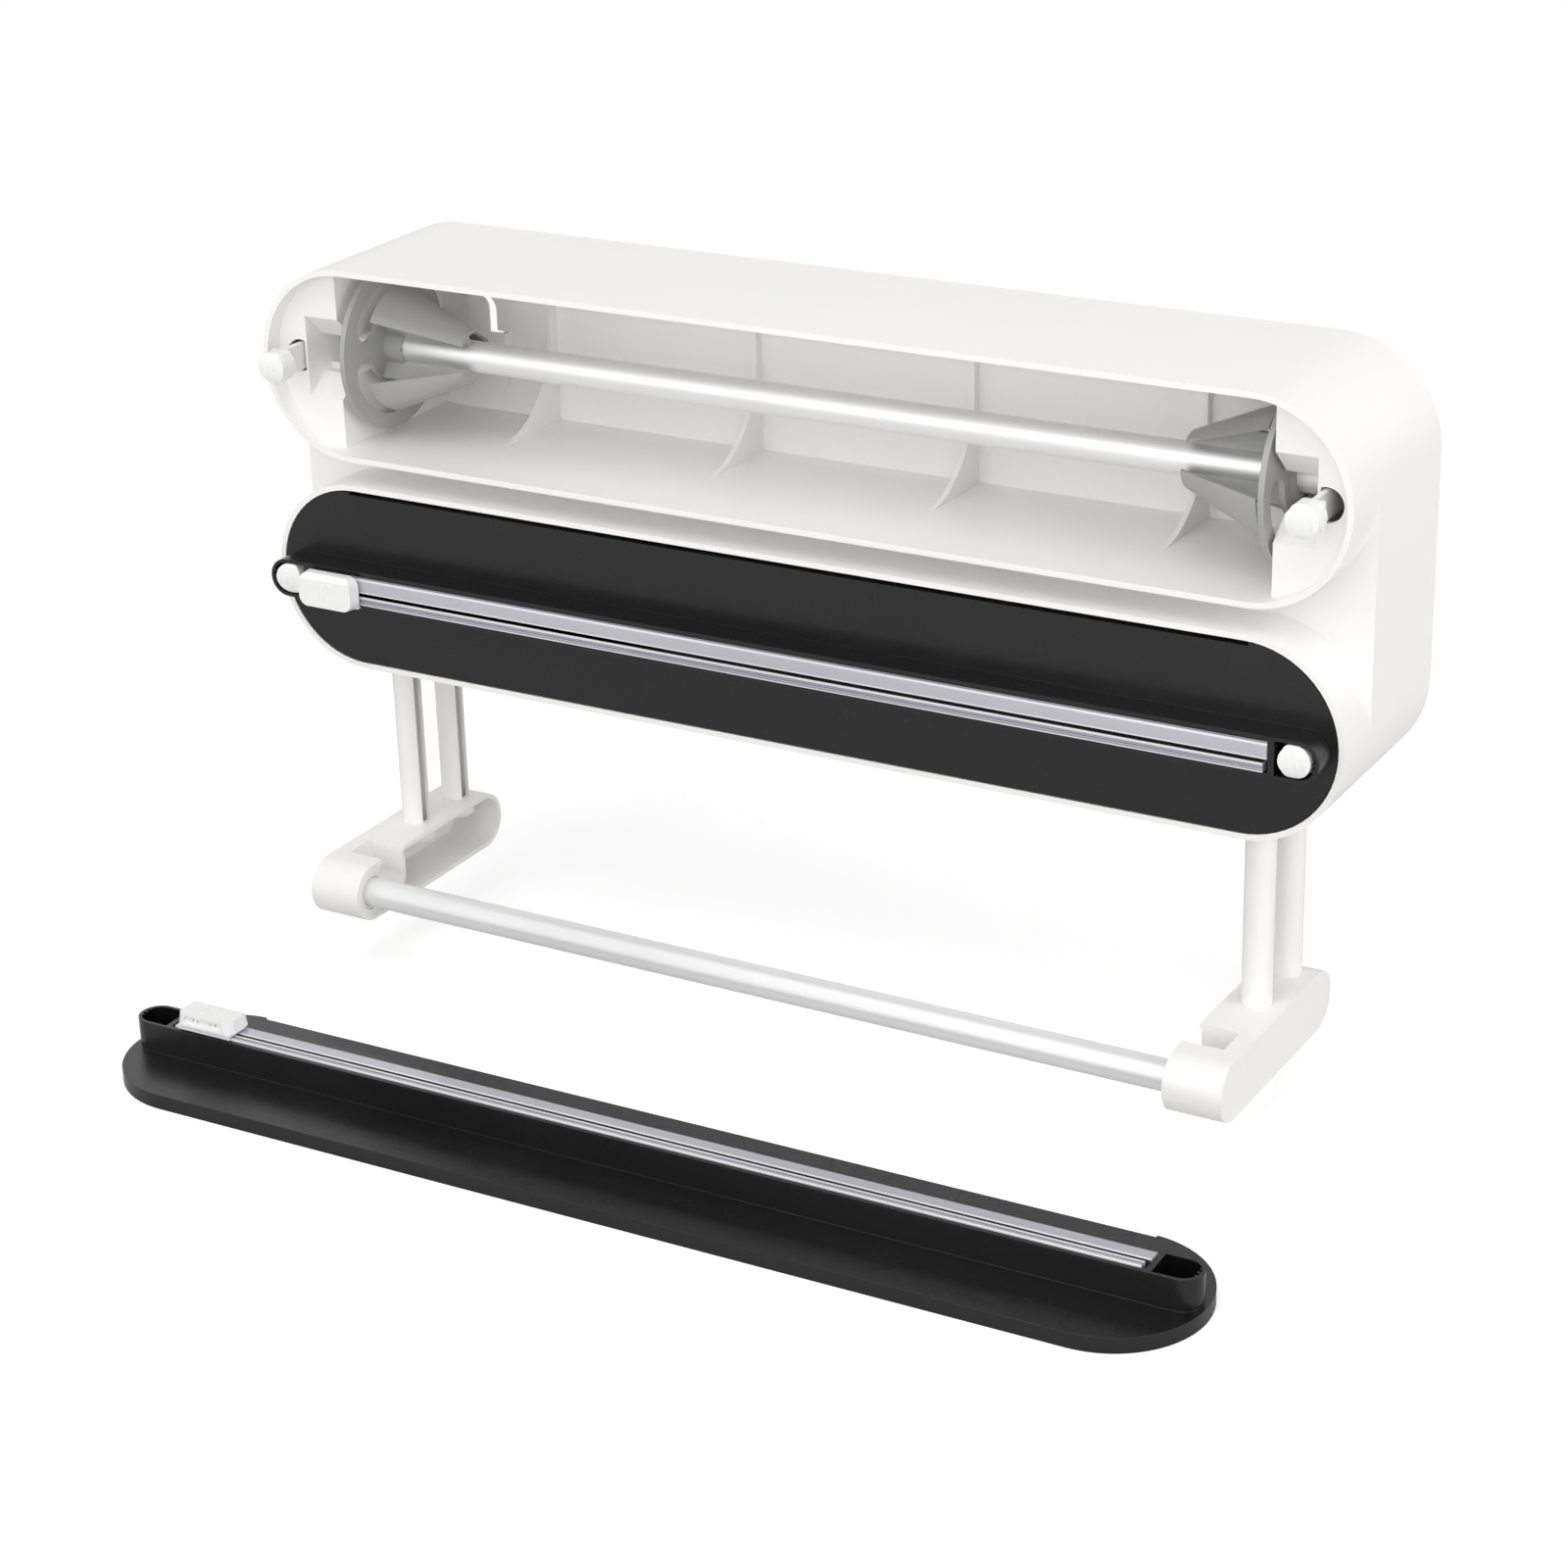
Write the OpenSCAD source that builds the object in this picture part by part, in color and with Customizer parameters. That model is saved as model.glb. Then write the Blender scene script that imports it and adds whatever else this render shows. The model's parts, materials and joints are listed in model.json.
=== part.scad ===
// Wall-mounted two-tier wrap dispenser with a towel rod below it.
// X runs along the wall, Y points into the wall, Z points up.
// The origin lies on the wall plane, midway between the two hanging slots.
// The upper tier is open and its cover lies on the worktop; the lower tier is closed.

/* [Body] */
// Overall width
body_w = 370; // [340:1:420]
// Height of one tier's tube
tier_h = 62.5; // [58:0.5:68]
// Distance between the centre lines of the two tiers
tier_pitch = 70.4; // [69:0.2:80]
// Room between the roll hubs' discs and the wall
rear_room = 12.2; // [11:0.1:24]
// Thickness of the outer walls
wall = 1.8; // [1.4:0.1:2.2]
// How far the strip between the tiers lies behind the rims
web_setback = 19.4; // [10:0.2:30]
// Thickness of the back wall
back_t = 2.5; // [1.5:0.1:3.5]
// How far the back wall stands off the wall plane
back_recess = 2.2; // [1.5:0.1:3]
// Height of the hanging slots' arches above the upper centre line
slot_rise = 4.35; // [0:0.05:6]

/* [Hanging slots] */
// Distance from the body's side to the middle of a slot
hang_inset = 41.7; // [41:0.1:60]
// Radius of the arch that the hook's neck fits
hang_neck_r = 5.7; // [4:0.05:7]
// Drop from the arch's centre to the shoulders of the wide part
hang_shoulder = 6.5; // [5:0.05:9]
// Width of the wide part that the hook's head enters
hang_head_w = 20.4; // [17:0.1:24]
// Height of the wide part
hang_head_h = 18; // [14:0.5:19]
// Clear depth behind the cap over each slot
hang_cap_gap = 1.7; // [1.5:0.1:4]
// Thickness of the cap
hang_cap_t = 0.8; // [0.8:0.1:2]
// Slit left open beside the cap's neck
hang_slit = 1.3; // [0.8:0.1:2]

/* [Stiffening ribs] */
// Ribs in each tier
rib_count = 4; // [2:1:4]
// Distance from an end block to the nearest rib
rib_end_gap = 44.2; // [40:0.1:60]
// Thickness of a rib
rib_t = 1.6; // [1:0.1:2.5]
// Height of a rib's upper part off the back wall
rib_h = 3; // [2:0.1:4]
// Gap between a rib's concave front edge and the discs' radius
rib_room = 3; // [2:0.1:3.4]

/* [End blocks] */
// Width of the block at each end of a tier
block_w = 25.7; // [24:0.1:30]
// How far the block's front plate lies behind the rim
block_inset = 6; // [5.6:0.1:8]
// Thickness of the block's plates
block_t = 1.6; // [1.2:0.1:2]
// Width of the opening that the spindle's end slides into
mouth_w = 12.7; // [12.2:0.1:13.2]
// Height of that opening at the front
mouth_h = 26.4; // [22:0.1:28]
// Depth over which the opening narrows to its throat
mouth_taper = 8.4; // [6:0.1:10]
// Height of the throat above the centre line
throat_up = 5.4; // [5.3:0.05:6]
// Depth of the throat below the centre line
throat_down = 6.9; // [6.8:0.05:8]
// Distance from the rim back to the discs of the roll hubs
disc_front = 1.3; // [1:0.1:4]
// Length of the seat that carries the spindle
seat_len = 4.8; // [4:0.1:5]

/* [Spindles] */
// Diameter of the aluminium tube
tube_d = 10; // [9:0.1:10]
// Wall of the tube
tube_wall = 1; // [0.8:0.1:1.5]
// Radial play of the tube in its seats
seat_play = 0.08; // [0.05:0.01:0.1]
// Radial play of the hubs on the tube
hub_play = 0.06; // [0.05:0.01:0.1]

/* [Roll hubs] */
// Gap between the end disc and the wall of the tier
disc_room = 2.45; // [2.2:0.05:6]
// Thickness of the end disc
disc_t = 1.8; // [1.2:0.1:2.2]
// Gap between the left discs and their end blocks
left_gap = 3.4; // [1:0.1:4]
// Gap between the right discs and their end blocks
right_gap = 1.2; // [1:0.1:4]
// Radius of the boss round the tube
boss_r = 6; // [5.9:0.1:7]
// Length of the boss inside the disc
boss_len = 6.5; // [5.5:0.5:12]
// Radius at the root of the outer collar
collar_root_r = 8.2; // [7:0.1:10]
// Radius at the end of the outer collar
collar_end_r = 6.5; // [6:0.1:6.8]
// Length of the outer collar
collar_len = 0.8; // [0.4:0.1:0.9]
// Number of wings
wing_count = 3; // [3:1:4]
// How far the wings stay inside the disc's edge
wing_inset = 6.4; // [6:0.1:8]
// Radius over the wings at their tips
wing_tip_r = 8.6; // [6.8:0.1:9]
// Length of the wings along the tube
wing_len = 28; // [24:0.5:34]
// Gap between the wings and the disc
wing_gap = 3.3; // [1.5:0.1:4]
// Thickness of a wing
wing_t = 1.1; // [0.8:0.1:1.4]
// Angle that one wing covers
wing_span = 61; // [40:1:66]
// Inner radius of the kidney slots in the disc
kidney_in_r = 12; // [11:0.5:14]
// Width of the disc's rim outside the kidney slots
kidney_rim = 5.1; // [4:0.1:6]
// Angle that one kidney slot covers, between the centres of its round ends
kidney_span = 66; // [50:1:70]
// Angle of a left hub's wing, from the front upwards
left_hub_turn = 66.5; // [0:0.5:120]
// Angle of a right hub's wing, from the front upwards
right_hub_turn = 84; // [0:0.5:120]

/* [Latches] */
// Distance from the body's side to the latch's centre
latch_edge = 10.3; // [10:0.1:11]
// Width of the latch's head
head_w = 8.6; // [7.4:0.1:8.7]
// Height of the latch's head
head_h = 9.8; // [8:0.1:9.9]
// How far the head stands ahead of the rim
head_proud = 10.6; // [8:0.1:11]
// Thickness of the latch's arm
arm_t = 1.6; // [1.2:0.1:2]
// Height of the latch's arm
arm_h = 8.6; // [6:0.1:9]
// Distance from the rim to the latch's pivot
pivot_inset = 41; // [40:0.5:44]
// Radius of the pivot bead at the arm's end
bead_r = 1.5; // [1.3:0.05:1.7]
// Radius of the hole in the block's front plate
latch_hole_r = 5.2; // [5:0.1:5.6]

/* [Covers] */
// Thickness of the cover at its edge
cover_t = 4.9; // [4:0.1:5.2]
// Thickness of the cover's face and edge walls
cover_wall = 1.8; // [1.4:0.1:2.2]
// Gap between the cover and the inside of the rim
cover_gap = 0.35; // [0.3:0.05:0.6]
// How far the straight top edge is cut back for the film
film_step = 1.1; // [0.8:0.1:1.6]
// Height of the raised rib
rail_rib_h = 12.6; // [12:0.1:14]
// How far the rib stands out from the face
rail_rib_out = 10; // [9:0.1:12]
// Gap between the rib's end and the cover's end
rail_rib_end = 1.4; // [0.6:0.1:1.6]
// Thickness of the rib's walls
rail_rib_t = 1.1; // [1:0.05:1.2]
// Distance from the body's side to the inner edge of the latch window
window_edge = 17; // [16.8:0.1:18]

/* [Cutters] */
// Height of the rail's upper bead
upper_bead_h = 5.5; // [5:0.1:5.6]
// Width of the slot that the blade runs in
blade_slot = 1.1; // [1:0.05:1.3]
// Height of the rail's lower bead
lower_bead_h = 2.9; // [2.5:0.1:3]
// How far the beads stand out of the rib
bead_out = 0.6; // [0.4:0.05:0.8]
// Depth of the channel that the rail lies in
rail_channel = 3.5; // [3:0.1:4]
// Thickness of the web under the rail's beads
rail_web = 0.8; // [0.6:0.05:1]
// Play at the rail's sides
rail_play = 0.15; // [0.1:0.01:0.2]
// Length of the slider's cap
cap_len = 22.4; // [18:0.2:24]
// Height of the slider's cap
cap_h = 11.4; // [9:0.1:11.8]
// How far the cap's middle lies above the blade
cap_up = 1; // [0:0.05:1.2]
// Thickness of the slider's cap
cap_t = 4; // [3.6:0.1:5.5]
// Radius of the cap's corners
cap_corner = 3.4; // [2:0.1:4]
// Length of the clear base under the cap
base_len = 20; // [16:0.5:22]
// Thickness of the clear base
base_t = 1; // [0.8:0.1:1.2]
// Play between the base and the rail
base_play = 0.3; // [0.25:0.05:0.4]
// Thickness of the blade
blade_t = 0.4; // [0.3:0.05:0.5]
// Length of the blade
blade_len = 9; // [6:0.5:12]
// Distance from the body's left side to the parked slider's middle
park_closed = 29; // [28.5:0.5:60]
// The same distance on the loose cover
park_loose = 32; // [28.5:0.5:60]

/* [Towel holder] */
// Distance from the body's side to each pair of posts
post_inset = 32.3; // [32:0.1:45]
// Distance from the rim to the front posts
post_front = 20; // [18:0.5:22]
// Distance from the rim to the rear posts
post_rear = 43; // [40:0.5:46]
// Diameter of a post
post_d = 9.3; // [8.5:0.1:10]
// Wall of a post
post_wall = 1.3; // [1:0.1:1.8]
// Width of the slot along a post
post_slot = 4.1; // [3:0.1:5]
// Drop from the body's underside to the top of the feet
post_drop = 61.25; // [50:0.25:80]
// Thickness of the pads under the body
pad_t = 2.2; // [2:0.1:3]
// Width of a foot and of a pad
foot_w = 18.6; // [18:0.1:20]
// Height of a foot
foot_h = 19.15; // [18:0.05:21]
// How far a foot reaches ahead of the rim
foot_ahead = 27.75; // [26:0.25:30]
// Distance from the rim to a foot's rear end
foot_back = 55.9; // [54:0.1:60]
// Wall of a foot
foot_wall = 1.5; // [1.2:0.1:2]
// Depth of a post in its socket
socket_depth = 5; // [4:0.5:12]
// Distance from the rim to the middle of the rod's notch
notch_inset = 6.85; // [6.5:0.05:8]; ahead of the rim
// Diameter of the towel rod
rod_d = 9.8; // [9:0.1:10]
// Diameter of the rod's end pieces
rod_end_d = 11.7; // [11.2:0.1:12]
// Length of a rod end piece
rod_end_len = 11.4; // [8:0.1:12]

/* [Loose cover] */
// How far the loose cover's middle lies ahead of the rims
loose_ahead = 94.7; // [85:0.1:160]
// How far the loose cover's middle lies right of the body's middle
loose_x = 3.9; // [-20:0.1:20]
// Angle that the loose cover is turned by
loose_turn = 1; // [-5:0.25:5]
// Height of the feet above the worktop
worktop_gap = 20.8; // [5:0.1:60]

/* [Hidden] */
$fn = 96;

LEFT = -1;
RIGHT = 1;
UPPER = 0;
LOWER = 1;
// One overrun for every cut that has to run past a face
over = 1;

tier_r = tier_h / 2;
bore_r = tier_r - wall;
disc_r = bore_r - disc_room;
spindle_inset = disc_front + disc_r;
body_d = spindle_inset + disc_r + rear_room;
end_x = body_w / 2 - tier_r;
rim_y = -body_d;
inner_back_y = -back_recess - back_t;
body_bottom = -slot_rise - tier_pitch - tier_r;
hang_x = body_w / 2 - hang_inset;
rib_clear_r = disc_r + rib_room;

block_x = body_w / 2 - block_w;
mouth_x = block_x + mouth_w;
block_y = rim_y + block_inset;
throat_y = block_y + mouth_taper;
spindle_y = rim_y + spindle_inset;
channel_end = spindle_y + throat_down;
latch_x = body_w / 2 - latch_edge;
// Side wall between the spindle's seat and the latch's arm, and room for the arm's swing
side_t = 0.8;
arm_room = 0.8;
arm_in = mouth_x + side_t + arm_room;
arm_x = arm_in + arm_t / 2;
pivot_y = rim_y + pivot_inset;
// Play round the pivot bead, and room for the arm's swing in the mouth of its clip
bead_play = 0.08;
clip_wall = 1.4;
arm_swing = 0.4;
seat_x = mouth_x - seat_len;
tube_r = tube_d / 2;
// The tube stops just inside the side walls
tube_half = mouth_x - block_t / 2;

wing_root_r = disc_r - wing_inset;
kidney_out_r = disc_r - kidney_rim;
web_t = 1.2;
// The webs join the wings only near their tips and stop short of the free ends
web_r = 12;
// Step beside each round end of a kidney slot
kidney_shoulder = 0.15;
key_w = 1.6;
key_depth = 0.6;
key_len = 4;

cover_r = bore_r - cover_gap;
film_edge = 1.5;
window_x = body_w / 2 - window_edge;
rail_rib_r = rail_rib_h / 2;
rail_rib_x = end_x + cover_r - rail_rib_end;
tooth_count = 3;
tooth_pitch = 2;
tooth_w = 0.7;
tooth_out = 1;
// Room round the largest roll, behind a closed cover
roll_play = 0.6;

rail_h = upper_bead_h + blade_slot + lower_bead_h;
rail_top = rail_h / 2;
rail_bottom = -rail_h / 2;
rail_slot_z = rail_top - upper_bead_h - blade_slot / 2;
rail_half = window_x - rail_rib_t - rail_play - block_t / 2;
rail_floor = rail_channel - rail_rib_out;
upper_chamfer = 1.1;
upper_chamfer_drop = 0.45;
// The lower bead is a little shorter and has fine ridges along it
lower_end = 1.2;
ridge_count = 3;
ridge_groove = 0.25;
base_y = -rail_rib_out - bead_out - base_play;
base_up = 4;
base_lip = 0.7;
cap_y = base_y - base_t;
grip_w = 0.5;
grip_pitch = 2.5;
grip_out = 0.25;
grip_count = 3;
cap_grip_h = 5.4;
cap_ridge = 1.7;
pocket_len = 16;
pocket_h = 2.8;
pocket_depth = 1;
pin_hole_r = 0.45;
pin_hole_depth = 1.4;
pin_pair_x = 3.6;
pin_pitch = 2;
blade_reach = 2.6;
blade_point = 2;

head_back = 4;
head_corner = 2.2;
head_dome_r = 6;
latch_lip = 1.2;

post_x = body_w / 2 - post_inset;
post_seat = 2;
pad_sink = 1.5;
foot_top = body_bottom - post_drop;
foot_r = foot_h / 2;
foot_mid = foot_top - foot_r;
foot_front_y = rim_y - foot_ahead;
foot_back_y = rim_y + foot_back;
foot_in = post_x - foot_w / 2;
foot_out = post_x + foot_w / 2;
socket_wall = 1.2;
socket_play = 0.05;
rod_y = foot_front_y + foot_r;
rod_play = 0.1;
notch_r = rod_end_d / 2 + rod_play;
notch_y = rim_y - notch_inset;
notch_deep = foot_in + rod_end_len + block_t;
barrel_recess = 0.8;
barrel_end = notch_y + notch_r + foot_wall;
rod_end_x = foot_in + barrel_recess;
rod_end_cap = 1.4;
rod_wall = 1;

worktop_z = foot_top - foot_h - worktop_gap;

body_white = "#F1F0EE";
clip_white = "#F4F4F2";
hub_grey = "#B2B4B6";
alu_grey = "#C9CACC";
cover_black = "#2B2B2C";
clear_tint = "#C9C7D2";
steel_grey = "#A8A9AC";

function tier_z(tier) = -slot_rise - tier * tier_pitch;
function disc_x(side) = block_x - (side == LEFT ? left_gap : right_gap) - disc_t;
function park_x(tier) = (tier == UPPER ? park_loose : park_closed) - body_w / 2;

// Extrudes a front view along Y, from the plane y = front to the plane y = back
module along_y(front, back) {
    translate([0, back, 0])
        rotate([90, 0, 0])
            linear_extrude(back - front)
                children();
}

// Extrudes a side view along X; the view's first axis is Y and its second is Z
module along_x(from, to) {
    translate([from, 0, 0])
        rotate([90, 0, 90])
            linear_extrude(to - from)
                children();
}

module rod_x(from, to, r) {
    translate([from, 0, 0])
        rotate([0, 90, 0])
            cylinder(h = to - from, r = r);
}

// Mirrors a piece that is drawn for the right side onto the left side
module on_side(side) {
    mirror([side == LEFT ? 1 : 0, 0, 0])
        children();
}

module on_tier(tier) {
    translate([0, 0, tier_z(tier)])
        children();
}

module stadium(half_len, r) {
    square([2 * half_len, 2 * r], center = true);
    for (side = [LEFT, RIGHT])
        translate([side * half_len, 0])
            circle(r);
}

module round_rect(w, h, r) {
    square([w - 2 * r, h], center = true);
    square([w, h - 2 * r], center = true);
    for (i = [LEFT, RIGHT], j = [LEFT, RIGHT])
        translate([i * (w / 2 - r), j * (h / 2 - r)])
            circle(r);
}

// Outline round both tiers, as seen from the back
module back_outline(r) {
    translate([0, (tier_z(UPPER) + tier_z(LOWER)) / 2])
        round_rect(2 * (end_x + r), tier_pitch + 2 * r, r);
}

module tier_outline(tier, r) {
    translate([0, tier_z(tier)])
        stadium(end_x, r);
}

// Hollow behind the strip between the tiers, open at the back
module web_core() {
    difference() {
        back_outline(bore_r);
        tier_outline(UPPER, tier_r);
        tier_outline(LOWER, tier_r);
    }
}

// Arch with straight sides; the slit makes it narrower and keeps its top level
module hang_neck(slit) {
    neck_r = hang_neck_r - slit;
    translate([0, slit])
        circle(neck_r);
    translate([-neck_r, -hang_shoulder])
        square([2 * neck_r, hang_shoulder + slit]);
}

module hang_head(w) {
    translate([-w / 2, -hang_shoulder - hang_head_h])
        square([w, hang_head_h]);
}

module at_hang(side) {
    translate([side * hang_x, 0])
        children();
}

// Cap and side walls that keep a hook's head off the roll
module hang_pocket(side) {
    cap_back = inner_back_y - hang_cap_gap;
    along_y(cap_back - hang_cap_t, cap_back)
        at_hang(side) {
            hang_neck(hang_slit);
            hang_head(hang_head_w);
        }
    along_y(cap_back, inner_back_y)
        at_hang(side)
            difference() {
                hang_head(hang_head_w);
                translate([0, block_t])
                    hang_head(hang_head_w - 2 * block_t);
            }
}

module hang_cut(side) {
    along_y(inner_back_y - hang_cap_gap, over)
        at_hang(side) {
            hang_neck(0);
            intersection() {
                translate([0, block_t])
                    hang_head(hang_head_w - 2 * block_t);
                hang_head(hang_head_w);
            }
        }
}

// Pad behind each slot that rests on the wall
module hang_pad(side) {
    at_hang(side)
        translate([0, -hang_shoulder])
            round_rect(hang_head_w + 4 * block_t, 2 * (hang_head_h + block_t), 2 * block_t);
}

// Rib behind the roll: a narrow strip above, a concave bracket below
module gusset() {
    difference() {
        translate([spindle_y, -bore_r - wall / 2])
            square([inner_back_y - spindle_y + back_t / 2, 2 * bore_r + wall]);
        translate([inner_back_y - rib_h - rib_clear_r, rib_clear_r - bore_r])
            circle(rib_clear_r);
        translate([spindle_y - over, rib_clear_r - bore_r])
            square([inner_back_y - rib_h - spindle_y + over, 2 * tier_r]);
    }
}

module block_mouth() {
    translate([block_x - over, -mouth_h / 2])
        square([mouth_w + over, mouth_h]);
    translate([latch_x, 0])
        circle(latch_hole_r);
}

// Side view of the way that a spindle's end takes to its seat
module throat_view() {
    polygon([
        [block_y - over, mouth_h / 2],
        [block_y, mouth_h / 2],
        [throat_y, throat_up],
        [channel_end, throat_up],
        [channel_end, -throat_down],
        [throat_y, -throat_down],
        [block_y, -mouth_h / 2],
        [block_y - over, -mouth_h / 2],
    ]);
}

module throat_outer_view() {
    polygon([
        [block_y, mouth_h / 2 + block_t],
        [block_y + block_t, mouth_h / 2 + block_t],
        [throat_y + block_t, throat_up + block_t],
        [channel_end + block_t, throat_up + block_t],
        [channel_end + block_t, -throat_down - block_t],
        [throat_y + block_t, -throat_down - block_t],
        [block_y + block_t, -mouth_h / 2 - block_t],
        [block_y, -mouth_h / 2 - block_t],
    ]);
}

module seat_view() {
    difference() {
        translate([spindle_y - tube_d, -throat_down - block_t / 2])
            square([channel_end - spindle_y + tube_d + block_t / 2,
                    throat_up + throat_down + block_t]);
        translate([spindle_y, 0])
            circle(tube_r + seat_play);
        translate([spindle_y - 2 * tube_d, -tube_r - seat_play])
            square([2 * tube_d, 2 * (tube_r + seat_play)]);
    }
}

// Clip that the latch's pivot bead snaps into, seen from above
module latch_clip() {
    clip_r = bead_r + bead_play + clip_wall;
    translate([arm_x, pivot_y, -arm_h / 2])
        linear_extrude(arm_h)
            difference() {
                union() {
                    circle(clip_r);
                    translate([-clip_r, 0])
                        square([2 * clip_r, inner_back_y - pivot_y + back_t / 2]);
                }
                circle(bead_r + bead_play);
                translate([-arm_t / 2 - arm_swing, -clip_r - over])
                    square([arm_t + 2 * arm_swing, clip_r + over]);
            }
}

module end_block() {
    along_y(block_y, block_y + block_t)
        difference() {
            intersection() {
                stadium(end_x, bore_r + wall / 2);
                translate([block_x, -tier_r])
                    square([block_w, tier_h]);
            }
            block_mouth();
        }
    difference() {
        along_x(block_x, block_x + block_t)
            translate([block_y, -bore_r])
                square([inner_back_y - block_y + back_t / 2, 2 * bore_r]);
        // The partition follows the round end of the tier
        along_y(block_y - over, 0)
            difference() {
                square([2 * body_w, 2 * tier_h], center = true);
                stadium(end_x, bore_r + wall / 2);
            }
        along_x(block_x - over, block_x + block_t + over)
            throat_view();
    }
    difference() {
        along_x(block_x, mouth_x + side_t)
            throat_outer_view();
        along_x(block_x - over, mouth_x)
            throat_view();
    }
    along_x(seat_x, seat_x + seat_len)
        seat_view();
    latch_clip();
}

module under_pad() {
    translate([post_x, 0])
        for (inset = [post_front, post_rear])
            translate([0, rim_y + inset, body_bottom - pad_t])
                cylinder(h = pad_t + pad_sink, d = foot_w);
    translate([foot_in, rim_y + post_front, body_bottom - pad_t])
        cube([foot_w, post_rear - post_front, pad_t + pad_sink]);
}

module post_socket(inset) {
    translate([post_x, rim_y + inset, body_bottom - pad_t - over])
        cylinder(h = post_seat + over, r = post_d / 2 + socket_play);
}

module housing() {
    color(body_white)
        difference() {
            union() {
                difference() {
                    union() {
                        for (tier = [UPPER, LOWER])
                            along_y(rim_y, 0)
                                tier_outline(tier, tier_r);
                        along_y(rim_y + web_setback, 0)
                            back_outline(tier_r);
                    }
                    for (tier = [UPPER, LOWER])
                        along_y(rim_y - over, inner_back_y)
                            tier_outline(tier, bore_r);
                    along_y(-back_recess, over)
                        difference() {
                            back_outline(bore_r);
                            for (side = [LEFT, RIGHT])
                                hang_pad(side);
                        }
                    along_y(rim_y + web_setback + wall, over)
                        web_core();
                }
                for (tier = [UPPER, LOWER])
                    on_tier(tier) {
                        for (i = [0 : rib_count - 1]) {
                            rib_x = (2 * i / (rib_count - 1) - 1) * (block_x - rib_end_gap);
                            along_x(rib_x - rib_t / 2, rib_x + rib_t / 2)
                                gusset();
                        }
                        for (side = [LEFT, RIGHT])
                            on_side(side)
                                end_block();
                    }
                for (side = [LEFT, RIGHT])
                    hang_pocket(side);
                for (side = [LEFT, RIGHT])
                    on_side(side)
                        under_pad();
            }
            for (side = [LEFT, RIGHT])
                hang_cut(side);
            for (side = [LEFT, RIGHT])
                on_side(side)
                    for (inset = [post_front, post_rear])
                        post_socket(inset);
        }
}

// Front view of a latch's head: round towards the body's side
module head_view() {
    outer_r = head_h / 2;
    translate([latch_x + head_w / 2 - outer_r, 0])
        circle(outer_r);
    translate([latch_x - head_w / 2, head_corner - outer_r])
        square([head_w - outer_r, head_h - 2 * head_corner]);
    translate([latch_x - head_w / 2 + head_corner, -outer_r])
        square([head_w - outer_r - head_corner, head_h]);
    for (j = [LEFT, RIGHT])
        translate([latch_x - head_w / 2 + head_corner, j * (outer_r - head_corner)])
            circle(head_corner);
}

module latch(tier, side) {
    head_front = rim_y - head_proud;
    color(clip_white)
        on_tier(tier)
            on_side(side) {
                intersection() {
                    along_y(head_front, rim_y - head_back)
                        head_view();
                    translate([0, head_front + head_dome_r, 0])
                        rod_x(arm_in - head_w, body_w / 2, head_dome_r);
                }
                // Grip ribs on the head
                for (i = [0 : grip_count - 1])
                    translate([latch_x + (i - 1) * grip_pitch - grip_w / 2, 0, 0])
                        intersection() {
                            translate([0, head_front - grip_out, -head_h / 4])
                                cube([grip_w, head_dome_r, head_h / 2]);
                            translate([0, head_front + head_dome_r, 0])
                                rod_x(0, grip_w, head_dome_r + grip_out);
                        }
                translate([arm_in, rim_y - head_back - over, -arm_h / 2])
                    cube([arm_t, pivot_y - rim_y + head_back + over, arm_h]);
                translate([arm_in, rim_y - head_back - over, -arm_h / 2])
                    cube([head_w / 2, over + latch_lip, arm_h]);
                translate([arm_x, pivot_y, -arm_h / 2])
                    cylinder(h = arm_h, r = bead_r);
            }
}

module latch_upper_left() { latch(UPPER, LEFT); }
module latch_upper_right() { latch(UPPER, RIGHT); }
module latch_lower_left() { latch(LOWER, LEFT); }
module latch_lower_right() { latch(LOWER, RIGHT); }

module spindle_tube(tier) {
    color(alu_grey)
        on_tier(tier)
            translate([0, spindle_y, 0])
                difference() {
                    rod_x(-tube_half, tube_half, tube_r);
                    rod_x(-tube_half - over, tube_half + over, tube_r - tube_wall);
                }
}

module spindle_tube_upper() { spindle_tube(UPPER); }
module spindle_tube_lower() { spindle_tube(LOWER); }

// Flat sector between two angles, wide enough to cut the disc with
module sector(span, r) {
    polygon([
        [0, 0],
        [r * cos(span / 2), -r * sin(span / 2)],
        [r / cos(span / 2), 0],
        [r * cos(span / 2), r * sin(span / 2)],
    ]);
}

// Kidney slot centred on the first axis
module kidney() {
    mid_r = (kidney_in_r + kidney_out_r) / 2;
    intersection() {
        difference() {
            circle(kidney_out_r);
            circle(kidney_in_r);
        }
        sector(kidney_span, 2 * disc_r);
    }
    for (side = [LEFT, RIGHT])
        rotate(side * kidney_span / 2)
            translate([mid_r, 0])
                circle((kidney_out_r - kidney_in_r) / 2 - kidney_shoulder);
}

// Conical shell that widens from the tip to its free end beside the disc
module wing() {
    rotate([0, 0, -wing_span / 2])
        rotate_extrude(angle = wing_span)
            polygon([
                [wing_tip_r - wing_t, 0],
                [wing_tip_r, 0],
                [wing_root_r, wing_len],
                [wing_root_r - wing_t, wing_len],
            ]);
}

// Radial web that carries a wing along the tube
module wing_web() {
    // Starts inside the tube's bore, which then trims it to fit
    inner_r = tube_r - web_t;
    web_end = wing_len + wing_gap + disc_t / 2;
    slope = (wing_root_r - wing_tip_r) / wing_len;
    meet = (web_r - wing_tip_r) / slope;
    translate([0, web_t / 2, 0])
        rotate([90, 0, 0])
            linear_extrude(web_t)
                polygon([
                    [inner_r, 0],
                    [wing_tip_r - wing_t / 2, 0],
                    [web_r - wing_t / 2, meet],
                    [web_r - wing_t / 2, web_end],
                    [inner_r, web_end],
                ]);
}

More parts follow.
